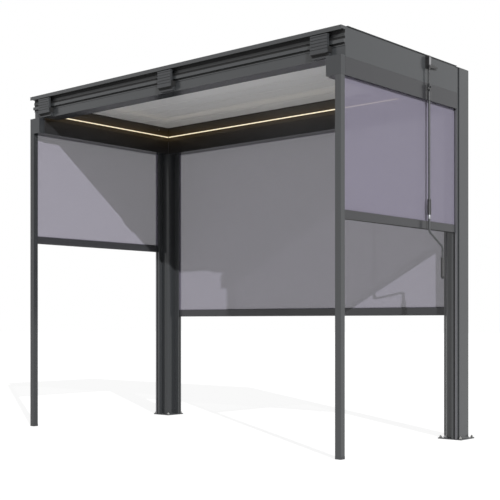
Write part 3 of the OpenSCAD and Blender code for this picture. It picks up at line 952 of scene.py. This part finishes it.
# sections in millimetres: pin and washer as radius and height, the seal along and out from the lip
PIN = [(7.8, 2.0), (7.8, 18.6), (6.6, 19.8)]
WASHER = [(11.5, 2.2), (11.5, 3.4), (10.5, 3.9)]
SEAL = [(-3.0, -0.3), (-2.6, 1.4), (-1.2, 2.4), (0.8, 2.4), (2.2, 1.4), (2.6, -0.3)]

first_low, first_high = box(LOUVERS[0])
louver_pitch = box(LOUVERS[1])[0].y - first_low.y
blade_end = first_high.x - PIN_OUT
axis_z = (first_low.z + first_high.z) / 2


def blade_outline(half, t, reach):
    """Section about the axis, y then z: flat underside, lip at +Y and a rain gutter at -Y."""
    left = -half + LIP
    gutter = left + GUTTER_IN
    points = [(-half, -t), (half, -t), (half + reach, t), (gutter + GUTTER_WIDE, t)]
    points += [(gutter + GUTTER_WIDE, t - GUTTER_DEEP), (gutter, t - GUTTER_DEEP), (gutter, t), (left, t)]
    return rounded_outline(points, 1.2 * MM, 3)


def blade_mesh(number, half, t, reach, start_y):
    """The blade, extruded in its place in the row."""
    mesh = bpy.data.meshes.new("outline")
    points = [(0.0, y, z) for y, z in blade_outline(half, t, reach)]
    mesh.from_pydata(points, [], [list(range(len(points)))])
    bm = bmesh.new()
    first = (0.0, start_y, axis_z)
    sizes = {"Length": 2 * blade_end, "Number": number, "Pitch": louver_pitch, "First": first}
    bm.from_mesh(grown(mesh, EXTRUDED_OUTLINE, Finish=louver_coat, **sizes))
    return bm


def seal_outline(half, t):
    """A soft bead on the slope of the lip."""
    along = Vector((LIP, 2 * t)).normalized()
    outward = Vector((along.y, -along.x))
    at = Vector((half, -t)) + along * SEAL_UP
    return [at + along * a * MM + outward * b * MM for a, b in SEAL]


for number, node in enumerate(LOUVERS):
    low, high = box(node)
    reach = LIP if number < LAST else 0
    t = (high.z - low.z) / 2
    half = (high.y - low.y - reach) / 2
    middle = low.y + half
    start_y = first_low.y + half if number < LAST else middle - LAST * louver_pitch
    piece(f"{node}_blade", blade_mesh(number, half, t, reach, start_y), LOUVER, (node,), body=node)

    corners = ((-half, -t), (half, -t), (half + reach, t), (-half + LIP, t))
    inset = rounded_outline([(y * CAP_WIDE, z * CAP_TALL) for y, z in corners], 2 * MM)
    ends, pins = bmesh.new(), bmesh.new()
    for side in SIDES:
        a, b = sorted((side * blade_end, side * (blade_end + CAP_DEEP)))
        add_prism(ends, [(middle + y, axis_z + z) for y, z in inset], X, a, b)
        for profile in (PIN, WASHER):
            add_turned(pins, in_mm(profile), (side, 0, 0), (side * blade_end, middle, axis_z), 20)
    piece(f"{node}_end_caps", ends, (louver_cap_plastic, "louver_paint"), body=node)
    piece(f"{node}_pins", pins, ZINC, below=NUT_BELOW, body=node)

    if number < LAST:
        points = [(middle + p.x, axis_z + p.y) for p in seal_outline(half, t)]
        seal = add_prism(bmesh.new(), points, X, -blade_end + 1 * MM, blade_end - 1 * MM)
        piece(f"{node}_seal", seal, (louver_seal, "louver_paint"), below=BEAD_BELOW, body=node)


# ---- guides and bottom bars ----

# sections of a guide's slot, millimetres across it and deep into it
LINER = [(-5.8, 19.6), (5.8, 19.6), (5.8, -0.4), (4.5, -0.4)]
LINER += [(4.5, 18.2), (-4.5, 18.2), (-4.5, -0.4), (-5.8, -0.4)]
PILE = [(4.6, 0.2), (1.5, 0.5), (1.5, 1.3), (4.6, 1.8)]
# the seal under a bar: millimetres across it and up from its foot
BULB = [(-4.5, 0.4), (-4.5, -1.4), (-3.0, -3.2), (0.0, -3.9), (3.0, -3.2), (4.5, -1.4), (4.5, 0.4)]
BACK_GUIDE_OUT = 34 * MM
LINER_UP, LINER_DOWN = {"wall": 20 * MM, "rear": 4 * MM, "back": 4 * MM}, 1.5 * MM
# end cap and shoe of a bar, in millimetres: reach, half its depth, inset from top and foot, radius
BAR_ENDS = ((2.2, 9.2, 0.8, 1.0), (14.0, 3.9, 12.0, 1.2))


def slot_outline(section, side, kind):
    """A section in the slot of a guide, as (x, y) points."""
    low, high = box(f"{kind}_{side}_guide")
    if kind == "back":
        way = 1 if side == "right" else -1
        middle = high.y - guide_w / 2
        return [(way * (x_in - BACK_GUIDE_OUT + v), middle + u) for u, v in in_mm(section)]
    middle = (low.x + high.x) / 2
    if kind == "wall":
        return [(middle + u, high.y - v) for u, v in in_mm(section)]
    return [(middle + u, low.y + v) for u, v in in_mm(section)]


liners, piles = bmesh.new(), bmesh.new()
for side in BOTH:
    for kind, up in LINER_UP.items():
        low, high = box(f"{kind}_{side}_guide")
        foot = low.z + up
        top = (high.z if kind == "wall" else z_cassette) - LINER_DOWN
        add_prism(liners, slot_outline(LINER, side, kind), Z, foot, top)
        for sign in SIDES:
            pile = [(sign * u, v) for u, v in PILE]
            add_prism(piles, slot_outline(pile, side, kind), Z, foot + 1 * MM, top - 1 * MM)
piece("guide_liners", liners, RUBBER)
low = (rear_high.x - guide_w / 2 + 6.4 * MM, rear_low.y - 0.7 * MM, z_plate)
high = (rear_high.x - 1.2 * MM, rear_low.y + 0.5 * MM, z_cassette - 1 * MM)
inserts = add_box(bmesh.new(), low, high, 0.5 * MM)
piece("guide_inserts", mirrored(inserts), (guide_insert, "frame_paint"))
piece("guide_brushes", piles, (brush_hair, "black_plastic"))


def bar_fittings(side, axis):
    """End caps with shoes that run in the guides, and a bulb seal under the bar."""
    low, high = box(f"{side}_bottom_bar")
    other = 1 - axis
    middle = (low[other] + high[other]) / 2
    ends = bmesh.new()
    for edge, out in ((low[axis], -1), (high[axis], 1)):
        for reach, half, up, radius in BAR_ENDS:
            a, b = low.copy(), high.copy()
            a[axis], b[axis] = sorted((edge - out * 1 * MM, edge + out * reach * MM))
            a[other], b[other] = middle - half * MM, middle + half * MM
            a.z, b.z = low.z + up * MM, high.z - up * MM
            add_box(ends, a, b, radius * MM)
    piece(f"{side}_bar_ends", ends, PLASTIC)
    points = drawn_from(BULB, middle, low.z)
    seal = add_prism(bmesh.new(), points, axis, low[axis] + 3 * MM, high[axis] - 3 * MM)
    piece(f"{side}_bar_seal", seal, RUBBER, below=TURNED_BELOW)


for side, axis in RUNS.items():
    bar_fittings(side, axis)


# ---- crank ----

upper_low, upper_high = box("crank_upper_grip")
lower_low, lower_high = box("crank_lower_grip")
crank_x = (upper_low.x + upper_high.x) / 2
crank_y = (upper_low.y + upper_high.y) / 2
arm_y = (lower_low.y + lower_high.y) / 2
swivel_z = box("crank_link")[0].z + 9 * MM
gear_x = gear_high.x

# profiles in millimetres: radius and height
RING = [(7.8, 0), (8.6, 1.2), (8.8, 3), (8.8, 22), (8.4, 27.5)]
TIP = [(6.0, 0), (9.4, 1.6), (10.4, 4.0), (10.4, 13)]
GEAR_SCREW = [(2.6, 0), (2.6, 0.7), (1.9, 1.4)]
GEAR_FOOT = [(7.0, 0), (9.0, 1.5), (9.0, 6.5), (11.5, 8.5), (11.5, 12)]
PIN_HEAD = [(5.6, 0.2), (5.6, 1.0), (4.2, 2.0)]
RING_DROP, TIP_DROP, FOOT_DROP = 26 * MM, 11.6 * MM, 11.4 * MM
PIN_OFF, LEVER_UP = 12 * MM, 17 * MM
# the gear's lever from its side: millimetres along and up from its root
LEVER = [(4, -14), (44, -12), (108, -5), (118, -1), (112, 4), (44, 11), (4, 13)]


def ribbed_grip(name, node, y, ribs):
    """A moulded grip with rounded ends and shallow rings."""
    low, high = box(node)
    length, radius = high.z - low.z, (high.x - low.x) / 2
    profile = [(radius - 3.4 * MM, 0), (radius - 1.0 * MM, 1.2 * MM), (radius, 4.0 * MM)]
    step = (length - 16 * MM) / ribs
    waist = radius - 0.9 * MM
    for i in range(ribs):
        z = 8 * MM + i * step
        profile += [(radius, z), (waist, z + 0.25 * step), (waist, z + 0.45 * step), (radius, z + 0.7 * step)]
    profile += [(radius, length - 6 * MM), (radius - 1.2 * MM, length - 1.6 * MM)]
    profile += [(radius - 3.6 * MM, length)]
    grip = add_turned(bmesh.new(), profile, UP, (crank_x, y, low.z), 32)
    piece(name, grip, PLASTIC, (node,), TURNED_BELOW, "crank")


ribbed_grip("crank_upper_sleeve", "crank_upper_grip", crank_y, 11)
ribbed_grip("crank_lower_sleeve", "crank_lower_grip", arm_y, 14)

ring = add_turned(bmesh.new(), in_mm(RING), UP, (crank_x, crank_y, upper_low.z - RING_DROP), 28)
piece("crank_bright_rings", ring, CHROME, below=TURNED_BELOW, body="crank")
tip = add_turned(bmesh.new(), in_mm(TIP), UP, (crank_x, arm_y, lower_low.z - TIP_DROP), 28)
piece("crank_grip_tip", tip, PLASTIC, below=TURNED_BELOW, body="crank")

cover_low = Vector((gear_x - 0.6 * MM, crank_y - 17 * MM, gear_low.z + 14 * MM))
cover_high = Vector((gear_x + 1.4 * MM, crank_y + 6 * MM, gear_high.z + 8 * MM))
cover = add_box(bmesh.new(), cover_low, cover_high, 1.2 * MM)
piece("crank_gear_cover", cover, (satin_steel, None))

cap = bmesh.new()
for foot, top, back, radius in (
    (gear_high.z - 10 * MM, gear_high.z + 14 * MM, 7 * MM, 2.0 * MM),
    (gear_low.z + 10 * MM, gear_high.z - 4 * MM, 4 * MM, 1.2 * MM),
):
    low = (x_out + 0.5 * MM, crank_y - 18 * MM, foot)
    add_box(cap, low, (gear_x - 0.3 * MM, crank_y + back, top), radius)
piece("crank_gear_cap", cap, PLASTIC)

screw = add_turned(bmesh.new(), in_mm(GEAR_SCREW), (1, 0, 0), (0, 0, 0), 12)
screw = to_mesh(screw, "gear_screw", NUT_BELOW)
screw_points = [
    (gear_x + 1.3 * MM, y, z)
    for y in (cover_low.y + 4 * MM, cover_high.y - 4 * MM)
    for z in (cover_low.z + 5 * MM, cover_high.z - 5 * MM)
]
piece("crank_gear_screws", at_points(screw_points, screw, black_steel), STEEL)

foot = add_turned(bmesh.new(), in_mm(GEAR_FOOT), UP, (crank_x, crank_y, gear_low.z - FOOT_DROP), 24)
lever = drawn_from(rounded_outline(LEVER, 2.0, 2), crank_y, gear_low.z + LEVER_UP)
add_prism(foot, lever, X, x_out + 2 * MM, x_out + 17 * MM)
piece("crank_gear_foot", foot, STEEL, below=TURNED_BELOW)

pin_heads = bmesh.new()
for side in SIDES:
    base = (crank_x, crank_y + side * PIN_OFF, swivel_z)
    add_turned(pin_heads, in_mm(PIN_HEAD), (0, side, 0), base, 18)
piece("crank_pin_heads", pin_heads, ZINC, below=TURNED_BELOW, body="crank_swivel")


# ---- screens ----

CLOTH_COLUMNS, CLOTH_ROWS = 56, 40
CLOTH_THICK = 0.5 * MM
CLOTH_RIPPLE = 1.2 * MM
# each wave's share of the ripple, how fast it turns across and up the panel, and its start
RIPPLES = ((0.6, 7.3, 0.0, 1.1), (0.4, 17.0, 4.0, 0.0))
HEM_HIGH = 4 * MM
TAPE_WIDE, TAPE_STOP = 11 * MM, 2 * MM
EDGE_HALF = 0.9 * MM


def belly(share):
    """0 at both edges of a panel and 1 in its middle, steep at the edges."""
    return math.sin(math.pi * share) ** 0.5 if 0 < share < 1 else 0.0


def cloth_panel(across, low, high, place, axis):
    """A taut panel between two edges, as a thin closed cloth with a slight ripple and belly."""
    columns, rows = CLOTH_COLUMNS, CLOTH_ROWS
    first, last = across
    bm = bmesh.new()
    layers = []
    for side in (-0.5, 0.5):
        grid = []
        for r in range(rows + 1):
            v = r / rows
            line = []
            for c in range(columns + 1):
                u = c / columns
                wave = sum(share * math.sin(a * u + b * v + start) for share, a, b, start in RIPPLES)
                depth = place + CLOTH_RIPPLE * belly(u) * belly(v) * wave + side * CLOTH_THICK
                point = [0.0, 0.0, low + (high - low) * v]
                point[axis] = first + (last - first) * u
                point[1 - axis] = depth
                line.append(bm.verts.new(point))
            grid.append(line)
        layers.append(grid)
    for grid in layers:
        for r in range(rows):
            for c in range(columns):
                bm.faces.new((grid[r][c], grid[r][c + 1], grid[r + 1][c + 1], grid[r + 1][c]))
    one, two = layers
    rim = [(0, c) for c in range(columns)] + [(r, columns) for r in range(rows)]
    rim += [(rows, c) for c in range(columns, 0, -1)] + [(r, 0) for r in range(rows, 0, -1)]
    for i, (r, c) in enumerate(rim):
        r2, c2 = rim[(i + 1) % len(rim)]
        bm.faces.new((one[r][c], one[r2][c2], two[r2][c2], two[r][c]))
    return bm


def screen(side, axis, mesh_cloth):
    """Cloth, hem and zip edges of one screen, which runs along x or y."""
    node, name = f"{side}_screen", f"{side}_cloth"
    low, high = box(node)
    place = (low[1 - axis] + high[1 - axis]) / 2
    first, last = low[axis], high[axis]
    panel = cloth_panel((first, last), low.z, high.z, place, axis)
    panel = piece(name, panel, (mesh_cloth, "screen_fabric"), (node,), TURNED_BELOW)

    def strip(bm, start, end, top, radius):
        a, b = [0, 0, low.z], [0, 0, top]
        a[axis], b[axis] = start, end
        a[1 - axis], b[1 - axis] = place - EDGE_HALF, place + EDGE_HALF
        return add_box(bm, a, b, radius)

    hem = strip(bmesh.new(), first + TAPE_WIDE, last - TAPE_WIDE, low.z + HEM_HIGH, 0.4 * MM)
    zips = strip(bmesh.new(), first, first + TAPE_WIDE, high.z - TAPE_STOP, 0.3 * MM)
    strip(zips, last - TAPE_WIDE, last, high.z - TAPE_STOP, 0.3 * MM)
    hem = piece(f"{name}_hem", hem, (hem_cloth, "screen_fabric"))
    zips = piece(f"{name}_zip_tapes", zips, (zip_tape, "screen_fabric"))


for side, axis in RUNS.items():
    # The right screen takes the lighter copy of the cloth, painted light.
    screen(side, axis, painted_sunlit_cloth if side == "right" else shaded_cloth)


# ---- studio ----

FLOOR_REACH = 60.0
SUN_FROM = Vector((1.0, -0.6636, 0.53))
SUN_POWER = 3.4
SUN_ANGLE = math.radians(0.4)
CAMERA_AT = (5.107, -5.690, 0.816)
CAMERA_TOWARD = Vector((-0.65965, 0.75158, 0.0))
CAMERA_LENS = 74.18
CAMERA_SHIFT = 0.1434
WORLD_LIGHT = 0.36
FLOOR_GREY, FLOOR_SHADED = (0.8, 0.8, 0.8, 1), (0.3, 0.3, 0.3, 1)
FLOOR_LIFT = 0.84
WHITE = (1, 1, 1, 1)


def seen_plainly(tree):
    """1 for rays from the camera, from a reflection or through glass, and 0 for other light."""
    path = tree.nodes.new("ShaderNodeLightPath").outputs
    seen = math_node(tree, "MAXIMUM", path["Is Camera Ray"], path["Is Glossy Ray"])
    return math_node(tree, "MAXIMUM", seen, path["Is Transmission Ray"])


def pale_floor():
    """A plain floor that looks nearly white and still takes the object's shadow."""
    bm = bmesh.new()
    corners = ((-1, -1), (1, -1), (1, 1), (-1, 1))
    bm.faces.new([bm.verts.new((x * FLOOR_REACH, y * FLOOR_REACH, -0.5 * MM)) for x, y in corners])
    mesh = bpy.data.meshes.new("floor")
    bm.to_mesh(mesh)
    bm.free()
    material = bpy.data.materials.new("pale_floor")
    tree, surface = cleared_tree(material, "ShaderNodeOutputMaterial")
    plain = add_node(tree, "ShaderNodeBsdfDiffuse", {"Color": FLOOR_GREY}).outputs[0]
    shaded = add_node(tree, "ShaderNodeBsdfDiffuse", {"Color": FLOOR_SHADED}).outputs[0]
    lift = add_node(tree, "ShaderNodeEmission", {"Color": WHITE, "Strength": FLOOR_LIFT}).outputs[0]
    shown = add_node(tree, "ShaderNodeAddShader", {0: shaded, 1: lift}).outputs[0]
    mixed = add_node(tree, "ShaderNodeMixShader", {0: seen_plainly(tree), 1: plain, 2: shown}).outputs[0]
    tree.links.new(mixed, surface)
    mesh.materials.append(material)
    place_in_scene("floor", mesh)


def white_world():
    """White to the eye, and soft light at a lower level."""
    world = bpy.data.worlds.new("studio")
    bpy.context.scene.world = world
    tree, surface = cleared_tree(world, "ShaderNodeOutputWorld")
    strength = remap(tree, seen_plainly(tree), 0.0, 1.0, WORLD_LIGHT, 1.0)
    white = add_node(tree, "ShaderNodeBackground", {"Color": WHITE, "Strength": strength})
    tree.links.new(white.outputs[0], surface)


def sun_and_camera():
    key = bpy.data.lights.new("key", "SUN")
    key.energy = SUN_POWER
    key.angle = SUN_ANGLE
    lamp = place_in_scene("key", key)
    lamp.rotation_euler = SUN_FROM.to_track_quat("Z", "Y").to_euler()

    data = bpy.data.cameras.new("camera")
    data.sensor_width = 36.0
    data.lens = CAMERA_LENS
    data.shift_y = CAMERA_SHIFT
    data.clip_end = 200.0
    camera = place_in_scene("camera", data)
    camera.location = CAMERA_AT
    camera.rotation_euler = CAMERA_TOWARD.to_track_quat("-Z", "Y").to_euler()
    bpy.context.scene.camera = camera


pale_floor()
white_world()
sun_and_camera()
bpy.context.scene.view_settings.view_transform = "Standard"
